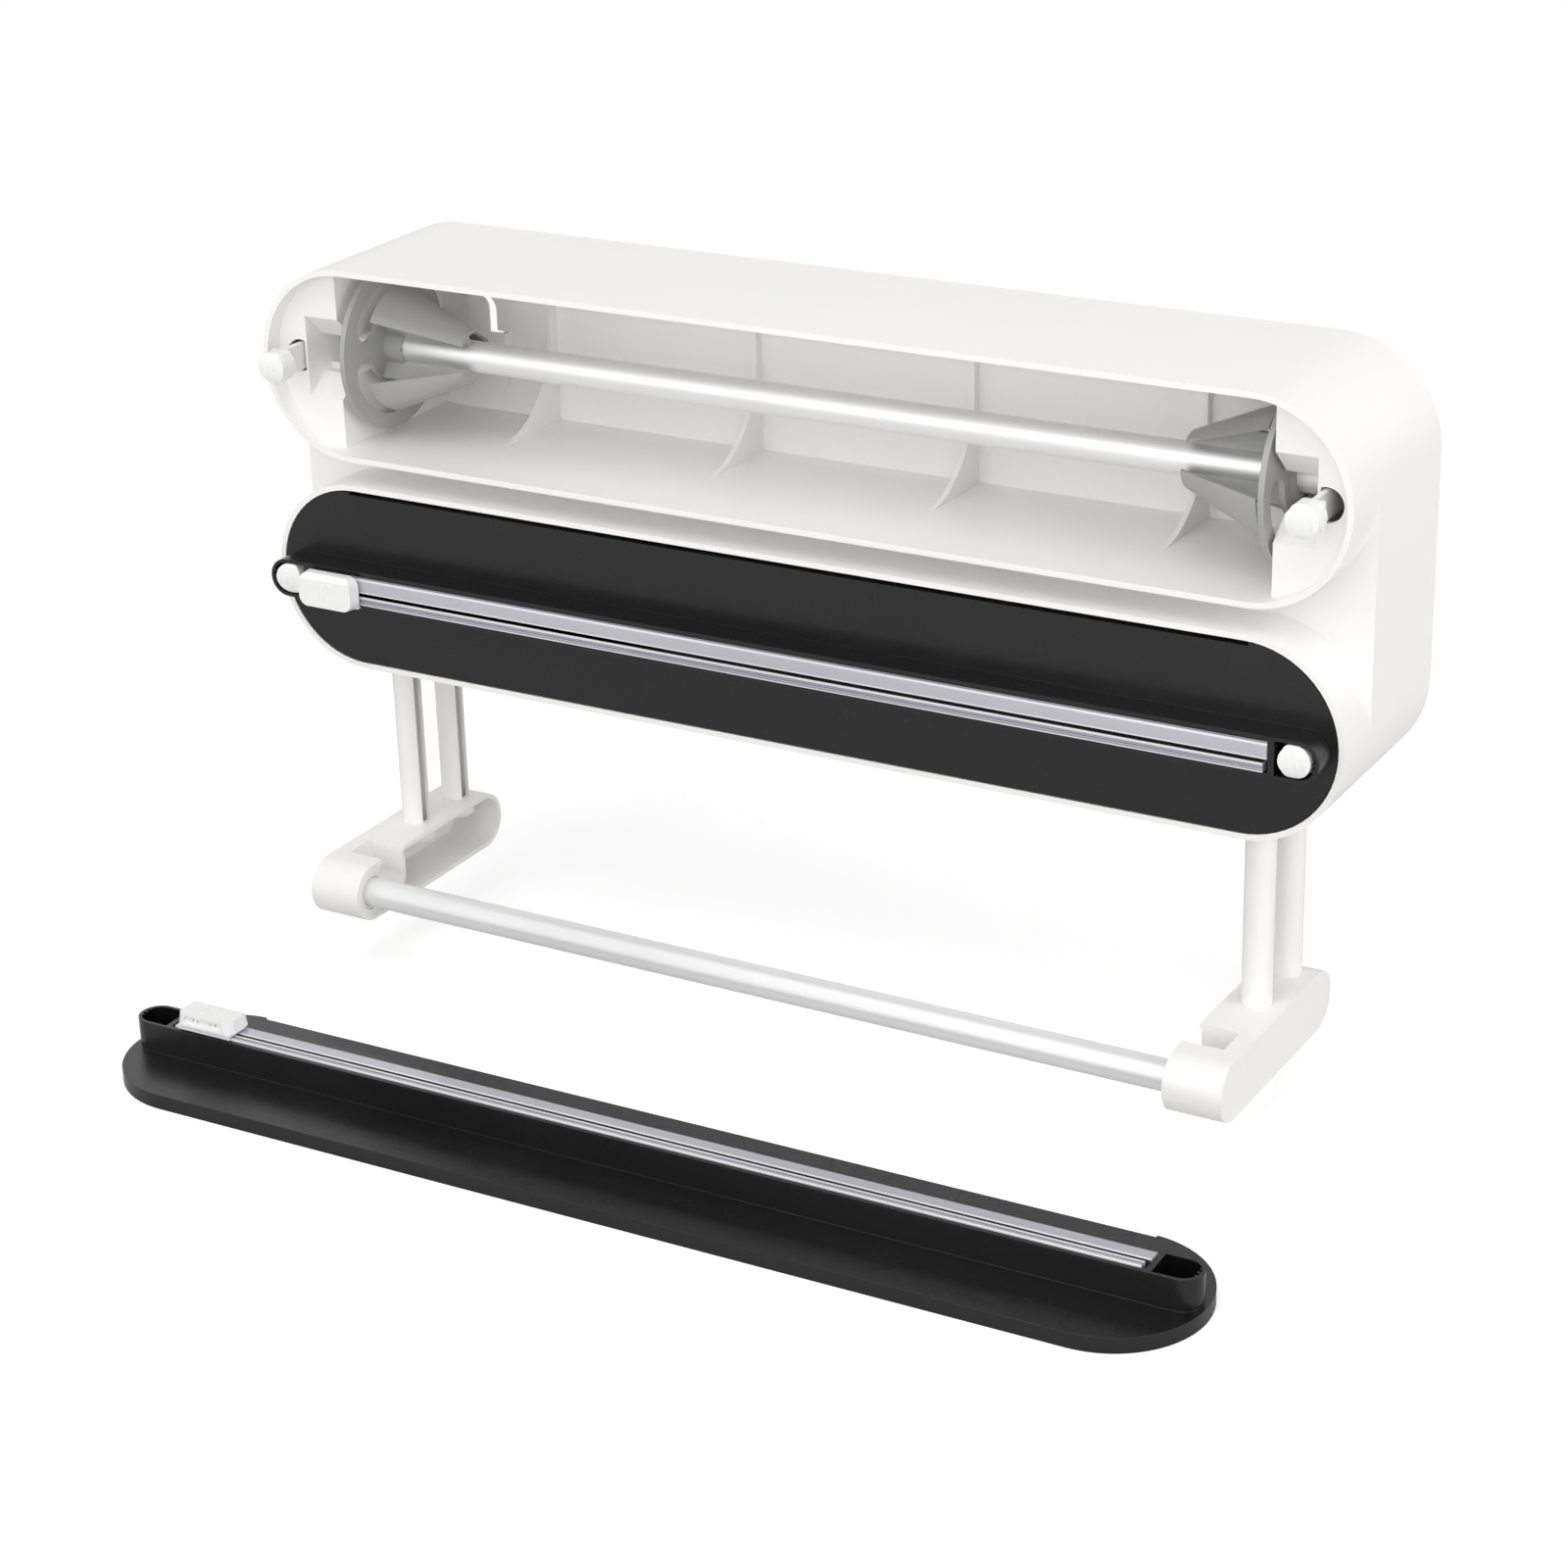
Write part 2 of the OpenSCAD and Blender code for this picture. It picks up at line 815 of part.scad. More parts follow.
// One hub, drawn with its axis on Z: tips at z = 0, disc at the far end
module hub_shape() {
    disc_z = wing_len + wing_gap;
    step = 360 / wing_count;
    difference() {
        union() {
            translate([0, 0, disc_z])
                linear_extrude(disc_t)
                    difference() {
                        circle(disc_r);
                        for (i = [0 : wing_count - 1])
                            rotate(i * step)
                                kidney();
                    }
            translate([0, 0, disc_z - boss_len])
                cylinder(h = boss_len + disc_t / 2, r = boss_r);
            translate([0, 0, disc_z + disc_t])
                cylinder(h = collar_len, r1 = collar_root_r, r2 = collar_end_r);
            for (i = [0 : wing_count - 1])
                rotate(i * step) {
                    wing();
                    wing_web();
                }
        }
        translate([0, 0, -over])
            cylinder(h = disc_z + disc_t + collar_len + 2 * over, r = tube_r + hub_play);
        // Key notches at the mouth of the boss
        for (i = [0 : wing_count - 1])
            rotate(i * step + step / 2)
                translate([tube_r - key_depth, -key_w / 2, disc_z - boss_len - over])
                    cube([2 * key_depth, key_w, key_len + over]);
    }
}

module hub(tier, side) {
    turn = side == LEFT ? left_hub_turn : right_hub_turn;
    color(hub_grey)
        on_tier(tier)
            on_side(side)
                translate([disc_x(side) - wing_gap - wing_len, spindle_y, 0])
                    rotate([-turn, 0, 0])
                        rotate([90, 0, 90])
                            rotate([0, 0, 180])
                                hub_shape();
}

module hub_upper_left() { hub(UPPER, LEFT); }
module hub_upper_right() { hub(UPPER, RIGHT); }
module hub_lower_left() { hub(LOWER, LEFT); }
module hub_lower_right() { hub(LOWER, RIGHT); }

// Puts a piece that is drawn on a cover in its place: the lower cover is closed,
// the upper one lies on the worktop with its face up. In the cover's own frame
// the face is the plane y = 0 and points along -Y.
module on_cover(tier) {
    if (tier == LOWER)
        translate([0, rim_y, tier_z(LOWER)])
            children();
    else
        translate([loose_x, rim_y - loose_ahead, worktop_z + cover_t])
            rotate([0, 0, loose_turn])
                rotate([-90, 0, 0])
                    children();
}

module cover_outline(r) {
    intersection() {
        stadium(end_x, r);
        union() {
            translate([-end_x - film_edge, -tier_h])
                square([2 * (end_x + film_edge), tier_h + cover_r - film_step]);
            for (side = [LEFT, RIGHT])
                on_side(side)
                    translate([end_x + film_edge, -tier_h])
                        square([tier_h, 2 * tier_h]);
        }
    }
}

module rib_outline(inset) {
    stadium(rail_rib_x - rail_rib_r, rail_rib_r - inset);
}

// Window for a latch's head, with small teeth at its round end
module window_outline() {
    difference() {
        intersection() {
            rib_outline(rail_rib_t);
            translate([window_x, -rail_rib_h])
                square([tier_h, 2 * rail_rib_h]);
        }
        for (i = [0 : tooth_count - 1])
            translate([rail_rib_x - rail_rib_t - tooth_out,
                       (i - (tooth_count - 1) / 2) * tooth_pitch - tooth_w / 2])
                square([2 * tooth_out, tooth_w]);
    }
}

module cover(tier) {
    channel_h = rail_h + 2 * rail_play;
    relief_x = max(disc_x(LEFT), disc_x(RIGHT)) + disc_t + roll_play;
    color(cover_black)
        on_cover(tier)
            difference() {
                union() {
                    difference() {
                        along_y(0, cover_t)
                            cover_outline(cover_r);
                        along_y(cover_wall, cover_t + over)
                            difference() {
                                intersection() {
                                    stadium(end_x, cover_r - cover_wall);
                                    translate([-body_w, -tier_h])
                                        square([2 * body_w,
                                                tier_h + cover_r - film_step - cover_wall]);
                                }
                                rib_outline(-rail_rib_t / 2);
                            }
                    }
                    along_y(-rail_rib_out, cover_wall)
                        rib_outline(0);
                }
                // Hollow behind the rail's channel
                along_y(rail_floor + rail_rib_t, cover_t + over)
                    intersection() {
                        rib_outline(rail_rib_t);
                        square([2 * (window_x - rail_rib_t), 2 * rail_rib_h], center = true);
                    }
                // Channel for the rail
                translate([0, 0, rail_bottom - rail_play])
                    along_y(-rail_rib_out - over, rail_floor)
                        translate([-rail_half - rail_play, 0])
                            square([2 * (rail_half + rail_play), channel_h]);
                // Concave relief that the roll and the discs turn in
                translate([0, spindle_inset, 0])
                    rod_x(-relief_x, relief_x, disc_r + roll_play);
                for (side = [LEFT, RIGHT])
                    on_side(side)
                        along_y(-rail_rib_out - over, cover_t + over)
                            window_outline();
            }
}

module cover_upper() { cover(UPPER); }
module cover_lower() { cover(LOWER); }

// Section of the rail's upper bead and of the web behind the blade's slot
module upper_bead_view() {
    face = -rail_rib_out - bead_out;
    upper_low = rail_slot_z + blade_slot / 2;
    lower_high = rail_slot_z - blade_slot / 2;
    polygon([
        [rail_floor, rail_top],
        [face + upper_chamfer_drop, rail_top],
        [face, rail_top - upper_chamfer],
        [face, upper_low],
        [rail_floor - rail_web, upper_low],
        [rail_floor - rail_web, lower_high],
        [rail_floor, lower_high],
    ]);
}

// Section of the rail's lower bead
module lower_bead_view() {
    face = -rail_rib_out - bead_out;
    lower_high = rail_slot_z - blade_slot / 2;
    pitch = lower_bead_h / ridge_count;
    polygon(concat(
        [[rail_floor, lower_high]],
        [for (i = [0 : ridge_count - 1],
              p = [[ridge_groove, 0], [0, pitch / 4], [0, pitch * 3 / 4]])
            [face + p[0], lower_high - i * pitch - p[1]]],
        [[face + ridge_groove, rail_bottom], [rail_floor, rail_bottom]]
    ));
}

module rail(tier) {
    color(clear_tint)
        on_cover(tier) {
            along_x(-rail_half, rail_half)
                upper_bead_view();
            along_x(lower_end - rail_half, rail_half - lower_end)
                lower_bead_view();
        }
}

module rail_upper() { rail(UPPER); }
module rail_lower() { rail(LOWER); }

module slider_base(tier) {
    low = rail_bottom - base_lip - base_play;
    color(clear_tint)
        on_cover(tier)
            translate([park_x(tier) - base_len / 2, 0, 0])
                difference() {
                    along_x(0, base_len)
                        polygon([
                            [cap_y, rail_slot_z + base_up],
                            [base_y, rail_slot_z + base_up],
                            [base_y, rail_bottom - base_play],
                            [-rail_rib_out - base_play, rail_bottom - base_play],
                            [-rail_rib_out - base_play, low],
                            [cap_y, low],
                        ]);
                    // Slit that holds the blade
                    translate([(base_len - blade_len) / 2, cap_y - over, rail_slot_z - blade_t / 2])
                        cube([blade_len, base_t + 2 * over, blade_t]);
                }
}

module slider_base_upper() { slider_base(UPPER); }
module slider_base_lower() { slider_base(LOWER); }

module slider_cap(tier) {
    cap_front = cap_y - cap_t;
    cap_mid = rail_slot_z + cap_up;
    cap_low = cap_mid - cap_h / 2;
    color(clip_white)
        on_cover(tier)
            translate([park_x(tier), 0, 0])
                difference() {
                    union() {
                        intersection() {
                            along_y(cap_front, cap_y)
                                translate([0, cap_mid])
                                    round_rect(cap_len, cap_h, cap_corner);
                            along_x(-cap_len, cap_len)
                                polygon([
                                    [cap_y + over, cap_low - over],
                                    [cap_front - over, cap_low - over],
                                    [cap_front - over, cap_low + cap_h - cap_ridge],
                                    [cap_front, cap_low + cap_h - cap_ridge],
                                    [cap_front + cap_ridge, cap_low + cap_h],
                                    [cap_front + cap_ridge, cap_low + cap_h + over],
                                    [cap_y + over, cap_low + cap_h + over],
                                ]);
                        }
                        for (i = [0 : grip_count - 1])
                            translate([(i - 1) * grip_pitch - grip_w / 2,
                                       cap_front - grip_out,
                                       cap_mid - cap_grip_h / 2])
                                cube([grip_w, 2 * grip_out, cap_grip_h]);
                    }
                    // Recess with four pin holes on the side towards the worktop
                    translate([0, cap_y - cap_t / 2, cap_low - over])
                        linear_extrude(pocket_depth + over)
                            stadium((pocket_len - pocket_h) / 2, pocket_h / 2);
                    for (pair = [LEFT, RIGHT], pin = [LEFT, RIGHT])
                        translate([pair * pin_pair_x + pin * pin_pitch / 2,
                                   cap_y - cap_t / 2,
                                   cap_low])
                            cylinder(h = pocket_depth + pin_hole_depth, r = pin_hole_r);
                }
}

module slider_cap_upper() { slider_cap(UPPER); }
module slider_cap_lower() { slider_cap(LOWER); }

module blade(tier) {
    color(steel_grey)
        on_cover(tier)
            translate([park_x(tier), 0, rail_slot_z - blade_t / 2])
                linear_extrude(blade_t)
                    polygon([
                        [-blade_len / 2, cap_y],
                        [blade_len / 2, cap_y],
                        [blade_len / 2, base_y],
                        [blade_len / 2 - blade_point, base_y + blade_reach],
                        [-blade_len / 2 + blade_point, base_y + blade_reach],
                        [-blade_len / 2, base_y],
                    ]);
}

module blade_upper() { blade(UPPER); }
module blade_lower() { blade(LOWER); }

module post(side, inset) {
    post_top = body_bottom - pad_t + post_seat;
    post_end = foot_top - socket_depth;
    color(body_white)
        on_side(side)
            translate([post_x, rim_y + inset, post_end])
                difference() {
                    cylinder(h = post_top - post_end, d = post_d);
                    translate([0, 0, -over])
                        cylinder(h = post_top - post_end - post_seat + over,
                                 r = post_d / 2 - post_wall);
                    translate([-post_d, -post_slot / 2, socket_depth])
                        cube([post_d, post_slot, post_drop - 2 * pad_t]);
                }
}

module post_left_front() { post(LEFT, post_front); }
module post_left_rear() { post(LEFT, post_rear); }
module post_right_front() { post(RIGHT, post_front); }
module post_right_rear() { post(RIGHT, post_rear); }

// Side view of a foot, inset from its outer surface
module foot_view(inset) {
    translate([(foot_front_y + foot_back_y) / 2, foot_mid])
        stadium((foot_back_y - foot_front_y) / 2 - foot_r, foot_r - inset);
}

// Way of the rod's end piece: down through the notch, then forward to its rest
module rod_way() {
    translate([notch_y - notch_r, foot_mid])
        square([2 * notch_r, foot_r + over]);
    translate([rod_y, foot_mid - notch_r])
        square([notch_y - rod_y, 2 * notch_r]);
    for (y = [rod_y, notch_y])
        translate([y, foot_mid])
            circle(notch_r);
}

module foot(side) {
    socket_r = post_d / 2 + socket_play;
    color(body_white)
        on_side(side)
            difference() {
                union() {
                    along_x(foot_out - foot_wall, foot_out)
                        foot_view(0);
                    along_x(foot_in, foot_out)
                        difference() {
                            foot_view(0);
                            foot_view(foot_wall);
                        }
                    // Solid front that the rod's end rests in, round below the notch
                    along_x(foot_in + barrel_recess, foot_out)
                        intersection() {
                            foot_view(0);
                            union() {
                                translate([foot_front_y, foot_mid - foot_r])
                                    square([notch_y - foot_front_y, foot_h]);
                                translate([foot_front_y, foot_mid])
                                    square([barrel_end - foot_front_y, foot_r]);
                                translate([notch_y, foot_mid])
                                    circle(notch_r + foot_wall);
                            }
                        }
                    for (inset = [post_front, post_rear])
                        translate([post_x, rim_y + inset, foot_top - socket_depth - socket_wall])
                            cylinder(h = socket_depth + socket_wall, r = socket_r + socket_wall);
                }
                along_x(foot_in - over, notch_deep)
                    rod_way();
                for (inset = [post_front, post_rear])
                    translate([post_x, rim_y + inset, foot_top - socket_depth])
                        cylinder(h = socket_depth + over, r = socket_r);
            }
}

module foot_left() { foot(LEFT); }
module foot_right() { foot(RIGHT); }

module towel_rod() {
    half = rod_end_x + rod_end_len - rod_end_cap;
    color(body_white)
        translate([0, rod_y, foot_mid])
            difference() {
                rod_x(-half, half, rod_d / 2);
                rod_x(-half - over, half + over, rod_d / 2 - rod_wall);
            }
}

module rod_end(side) {
    color(clip_white)
        on_side(side)
            translate([0, rod_y, foot_mid])
                difference() {
                    rod_x(rod_end_x, rod_end_x + rod_end_len, rod_end_d / 2);
                    rod_x(rod_end_x - over, rod_end_x + rod_end_len - rod_end_cap,
                          rod_d / 2 + socket_play);
                }
}

module rod_end_left() { rod_end(LEFT); }
module rod_end_right() { rod_end(RIGHT); }

housing();
latch_upper_left();
latch_upper_right();
latch_lower_left();
latch_lower_right();
spindle_tube_upper();
spindle_tube_lower();
hub_upper_left();
hub_upper_right();
hub_lower_left();
hub_lower_right();
cover_upper();
cover_lower();
rail_upper();
rail_lower();
slider_cap_upper();
slider_cap_lower();
slider_base_upper();
slider_base_lower();
blade_upper();
blade_lower();
post_left_front();
post_left_rear();
post_right_front();
post_right_rear();
foot_left();
foot_right();
towel_rod();
rod_end_left();
rod_end_right();
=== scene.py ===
import json
import math

import bmesh
import bpy
from mathutils import Matrix, Vector


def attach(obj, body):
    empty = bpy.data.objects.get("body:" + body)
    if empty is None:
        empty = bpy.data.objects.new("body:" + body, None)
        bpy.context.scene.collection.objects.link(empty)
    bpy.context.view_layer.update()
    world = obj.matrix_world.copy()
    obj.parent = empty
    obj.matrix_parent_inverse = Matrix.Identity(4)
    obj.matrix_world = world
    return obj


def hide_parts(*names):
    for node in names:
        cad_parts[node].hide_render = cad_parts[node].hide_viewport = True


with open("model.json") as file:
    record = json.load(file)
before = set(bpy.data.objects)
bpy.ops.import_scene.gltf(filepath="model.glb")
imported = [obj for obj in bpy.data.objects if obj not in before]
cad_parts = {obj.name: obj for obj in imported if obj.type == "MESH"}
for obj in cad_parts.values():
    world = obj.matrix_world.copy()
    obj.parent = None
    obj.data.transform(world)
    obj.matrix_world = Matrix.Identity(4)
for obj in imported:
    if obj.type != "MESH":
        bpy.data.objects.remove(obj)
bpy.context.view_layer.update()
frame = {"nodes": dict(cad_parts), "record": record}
NODES = frame["nodes"]
MM = 0.001

# ---------------------------------------------------------------- places on the part
RIM_Y = -0.0675
LOWER_Z = -0.07475
WORKTOP_Z = -0.20720
LOOSE_X, LOOSE_AHEAD, LOOSE_Z = 0.0039, 0.0947, -0.2023
LOOSE_TURN = math.radians(1.0)
LYING = math.radians(-90.0)
# A cover's own frame: X along it, front at -Y, origin on its middle
COVER_FRAME = {
    "lower": Matrix.Translation((0.0, RIM_Y, LOWER_Z)),
    "upper": Matrix.Translation((LOOSE_X, RIM_Y - LOOSE_AHEAD, LOOSE_Z))
             @ Matrix.Rotation(LOOSE_TURN, 4, "Z") @ Matrix.Rotation(LYING, 4, "X"),
}

# ---------------------------------------------------------------- camera
CAM_POS = (0.51353, -0.93202, 0.30974)
CAM_YAW, CAM_PITCH, CAM_ROLL = (math.radians(a) for a in (-30.5425, -23.0502, -1.6479))
CAM_LENS = 81.52
CAM_SENSOR = 36.0
CAM_NEAR, CAM_FAR = 0.05, 20.0


def make_camera():
    """The camera that was solved from the photograph."""
    sy, cy = math.sin(CAM_YAW), math.cos(CAM_YAW)
    sp, cp = math.sin(CAM_PITCH), math.cos(CAM_PITCH)
    look = Vector((sy * cp, cy * cp, sp))
    right = Vector((cy, -sy, 0.0))
    up = right.cross(look)
    cr, sr = math.cos(CAM_ROLL), math.sin(CAM_ROLL)
    right, up = cr * right + sr * up, -sr * right + cr * up
    data = bpy.data.cameras.new("camera")
    data.lens = CAM_LENS
    data.sensor_width = CAM_SENSOR
    data.clip_start = CAM_NEAR
    data.clip_end = CAM_FAR
    cam = bpy.data.objects.new("camera", data)
    basis = Matrix((right, up, -look)).transposed().to_4x4()
    cam.matrix_world = Matrix.Translation(CAM_POS) @ basis
    bpy.context.collection.objects.link(cam)
    bpy.context.scene.camera = cam


make_camera()

# ---------------------------------------------------------------- materials
# Sockets of a Mix node that mixes colours
MIX_FACTOR, MIX_A, MIX_B, MIX_RESULT = 0, 6, 7, 2


class Nodes:
    """A material's node tree, with short calls for the nodes used here."""

    def __init__(self, name):
        self.mat = bpy.data.materials.new(name)
        self.mat.use_nodes = True
        self.tree = self.mat.node_tree
        self.shader = self.tree.nodes["Principled BSDF"]
        self.coords = self.add("ShaderNodeTexCoord").outputs["Object"]

    def add(self, kind, **settings):
        node = self.tree.nodes.new(kind)
        for key, value in settings.items():
            setattr(node, key, value)
        return node

    def link(self, a, b):
        self.tree.links.new(a, b)

    def scaled(self, x, y, z):
        """Object coordinates, stretched by a scale per axis."""
        node = self.add("ShaderNodeMapping")
        node.inputs["Scale"].default_value = (x, y, z)
        self.link(self.coords, node.inputs["Vector"])
        return node.outputs["Vector"]

    def noise(self, scale=1.0, detail=3.0, rough=0.55, vector=None):
        node = self.add("ShaderNodeTexNoise")
        node.inputs["Scale"].default_value = scale
        node.inputs["Detail"].default_value = detail
        node.inputs["Roughness"].default_value = rough
        self.link(vector or self.coords, node.inputs["Vector"])
        return node.outputs["Fac"]

    def spread(self, noise, low=0.0, high=1.0):
        """Spreads the middle of a noise's range over low to high."""
        node = self.add("ShaderNodeMapRange")
        node.inputs["From Min"].default_value = 0.35
        node.inputs["From Max"].default_value = 0.65
        node.inputs["To Min"].default_value = low
        node.inputs["To Max"].default_value = high
        self.link(noise, node.inputs["Value"])
        return node.outputs["Result"]

    def colours(self, fac, low, high):
        node = self.add("ShaderNodeMix", data_type="RGBA")
        node.inputs[MIX_A].default_value = (*low, 1.0)
        node.inputs[MIX_B].default_value = (*high, 1.0)
        self.link(fac, node.inputs[MIX_FACTOR])
        return node.outputs[MIX_RESULT]

    def bump(self, height, distance, strength, normal=None):
        node = self.add("ShaderNodeBump")
        node.inputs["Distance"].default_value = distance
        node.inputs["Strength"].default_value = strength
        self.link(height, node.inputs["Height"])
        if normal is not None:
            self.link(normal, node.inputs["Normal"])
        return node.outputs["Normal"]

    def finish(self, colour, rough, normal, **shader):
        self.link(colour, self.shader.inputs["Base Color"])
        self.link(rough, self.shader.inputs["Roughness"])
        self.link(normal, self.shader.inputs["Normal"])
        for key, value in shader.items():
            self.shader.inputs[key.replace("_", " ")].default_value = value
        return self.mat


def white_plastic(name, low, high, rough, seed):
    """Satin white ABS: slight changes of tone, faint flow waves and a very fine grain."""
    n = Nodes(name)
    colour = n.colours(n.spread(n.noise(scale=9.0 + seed)), low, high)
    gloss = n.spread(n.noise(scale=60.0 + seed, detail=4.0), rough - 0.04, rough + 0.05)
    grain = n.bump(n.noise(scale=5200.0, detail=2.0), distance=0.000012, strength=0.5)
    waves = n.bump(n.noise(scale=38.0 + seed, detail=1.0), distance=0.00009, strength=0.35, normal=grain)
    return n.finish(colour, gloss, waves, IOR=1.5)


def black_plastic(name):
    """Matt black cover with the fine spark texture of a moulded part."""
    n = Nodes(name)
    colour = n.colours(n.spread(n.noise(scale=14.0)), (0.0050, 0.0050, 0.0052), (0.0070, 0.0070, 0.0072))
    gloss = n.spread(n.noise(scale=45.0, detail=4.0), 0.23, 0.30)
    spark = n.bump(n.noise(scale=2400.0, rough=0.7), distance=0.000035, strength=0.7)
    waves = n.bump(n.noise(scale=24.0, detail=1.0), distance=0.00012, strength=0.3, normal=spark)
    return n.finish(colour, gloss, waves, IOR=1.5)


def grey_plastic(name):
    """Matt grey hub with a fine grain."""
    n = Nodes(name)
    colour = n.colours(n.spread(n.noise(scale=25.0)), (0.372, 0.370, 0.365), (0.412, 0.410, 0.405))
    gloss = n.spread(n.noise(scale=70.0, detail=4.0), 0.44, 0.56)
    grain = n.bump(n.noise(scale=3000.0, detail=2.0), distance=0.00003, strength=0.6)
    return n.finish(colour, gloss, grain, IOR=1.5)


def drawn_metal(name, low, high, metallic, rough, lines):
    """A drawn tube: fine lines along X, with slow changes of tone."""
    n = Nodes(name)
    streaks = n.noise(rough=0.6, vector=n.scaled(6.0, 1400.0, 1400.0))
    slow = n.noise(detail=2.0, rough=0.5, vector=n.scaled(18.0, 40.0, 40.0))
    colour = n.colours(n.spread(slow), low, high)
    gloss = n.spread(streaks, rough - 0.06, rough + 0.06)
    return n.finish(colour, gloss, n.bump(streaks, distance=lines, strength=0.6), Metallic=metallic)


# Colour of the clear rail over its black seat, from the height on its section in mm: painted highlights and
# reflections on the edges, the ridges and the faces, and painted shade in the grooves, the blade slot and
# along the top edge; in the dark bands the black seat also shows through
RAIL_PAINTED_LIGHT_AND_SHADE = (
    (-4.95, (0.92, 0.91, 0.94)), (-4.35, (0.40, 0.39, 0.44)), (-3.95, (0.52, 0.51, 0.56)),
    (-3.45, (0.26, 0.25, 0.29)), (-3.15, (0.52, 0.51, 0.56)), (-2.85, (0.26, 0.25, 0.29)),
    (-2.60, (0.86, 0.85, 0.89)), (-1.74, (0.05, 0.05, 0.055)), (-0.62, (0.90, 0.89, 0.93)),
    (0.00, (0.57, 0.56, 0.61)), (3.60, (0.80, 0.79, 0.84)), (4.20, (0.26, 0.25, 0.30)),
)
RAIL_SPAN = (-5.0, 5.0)


def rail_share(z):
    """A height on the rail's section as a share of RAIL_SPAN."""
    low, high = RAIL_SPAN
    return (z - low) / (high - low)


def clear_plastic(name):
    """Glossy clear bar with drawn lines along it. Its colour, by height on the section, carries painted
    highlights, reflections and shade.
    """
    n = Nodes(name)
    split = n.add("ShaderNodeSeparateXYZ")
    n.link(n.add("ShaderNodeTexCoord").outputs["UV"], split.inputs["Vector"])
    # A colour ramp by height on the section: painted highlights, reflections and shade
    painted_light_ramp = n.add("ShaderNodeValToRGB")
    ramp = painted_light_ramp.color_ramp
    ramp.interpolation = "CONSTANT"
    for i, (z, tone) in enumerate(RAIL_PAINTED_LIGHT_AND_SHADE):
        stop = ramp.elements[i] if i < 2 else ramp.elements.new(1.0)
        stop.position = rail_share(z)
        stop.color = (*tone, 1.0)
    n.link(split.outputs["Y"], painted_light_ramp.inputs["Fac"])
    slow = n.spread(n.noise(detail=2.0, rough=0.5, vector=n.scaled(9.0, 60.0, 60.0)))
    shade = n.add("ShaderNodeMix", data_type="RGBA", blend_type="MULTIPLY")
    shade.inputs[MIX_FACTOR].default_value = 1.0
    n.link(painted_light_ramp.outputs["Color"], shade.inputs[MIX_A])
    n.link(n.colours(slow, (0.90, 0.90, 0.91), (1.0, 1.0, 1.0)), shade.inputs[MIX_B])
    streaks = n.noise(rough=0.6, vector=n.scaled(5.0, 900.0, 900.0))
    gloss = n.spread(streaks, 0.10, 0.20)
    fine = n.bump(streaks, distance=0.00001, strength=0.5)
    return n.finish(shade.outputs[MIX_RESULT], gloss, fine,
                    IOR=1.55, Transmission_Weight=0.12, Coat_Weight=0.6)


def ground_steel(name):
    """Blade with fine grinding lines across it."""
    n = Nodes(name)
    streaks = n.noise(rough=0.6, vector=n.scaled(2200.0, 60.0, 60.0))
    colour = n.colours(n.spread(streaks), (0.52, 0.52, 0.53), (0.64, 0.64, 0.65))
    gloss = n.spread(streaks, 0.22, 0.34)
    return n.finish(colour, gloss, n.bump(streaks, distance=0.00001, strength=0.5), Metallic=1.0)


MATERIALS = {
    "body_white": white_plastic("body_white_satin", low=(0.925, 0.915, 0.900), high=(0.945, 0.936, 0.923),
                                rough=0.34, seed=0.0),
    "clip_white": white_plastic("clip_white_satin", low=(0.885, 0.882, 0.877), high=(0.905, 0.902, 0.897),
                                rough=0.30, seed=7.0),
    "hub_grey": grey_plastic("hub_grey_matt"),
    "spindle_aluminium": drawn_metal("spindle_drawn", low=(0.86, 0.86, 0.86), high=(0.90, 0.90, 0.90),
                                     metallic=1.0, rough=0.52, lines=0.00002),
    "rod_white": drawn_metal("rod_coated", low=(0.80, 0.80, 0.80), high=(0.85, 0.85, 0.85),
                             metallic=0.25, rough=0.34, lines=0.000008),
    "cover_black": black_plastic("cover_black_matt"),
    "clear_plastic": clear_plastic("rail_clear_lilac_painted_light"),
    "blade_steel": ground_steel("blade_ground"),
}
SLOT_OF = {s["node"]: s["material_slot"] for s in frame["record"]["subparts"]}
BODY_OF = {node: body for body, members in frame["record"]["behaviour"]["bodies"].items() for node in members}

# ---------------------------------------------------------------- moulded edges
EDGE_ANGLE = math.radians(28.0)
FLAT_ANGLE = math.radians(0.6)
MERGE_DIST = 2e-6
# Width of the rounded edges in mm, by the start of a node's name. What isn't here keeps its mesh.
EDGE_WIDTH = {
    "housing": 0.35, "foot": 0.6, "post": 0.15, "hub": 0.22, "cover": 0.45, "latch": 1.2,
    "slider_cap": 1.2, "slider_base": 0.15, "rod_end": 0.4,
}


def place(piece, node):
    """Lets a piece stand for a CAD node: puts it on the node's body and hides the node. The caller gives it
    the node's material.
    """
    bpy.context.collection.objects.link(piece)
    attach(piece, BODY_OF[node])
    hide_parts(node)


def round_edges(piece, width, segments, limit):
    """Rounds a piece's edges and keeps its flat faces evenly shaded."""
    bevel = piece.modifiers.new("edges", "BEVEL")
    bevel.width = width
    bevel.segments = segments
    bevel.limit_method = limit
    bevel.angle_limit = EDGE_ANGLE
    bevel.use_clamp_overlap = True
    bevel.miter_outer = "MITER_ARC"
    flat = piece.modifiers.new("flat_faces", "WEIGHTED_NORMAL")
    flat.weight = 90
    flat.keep_sharp = True


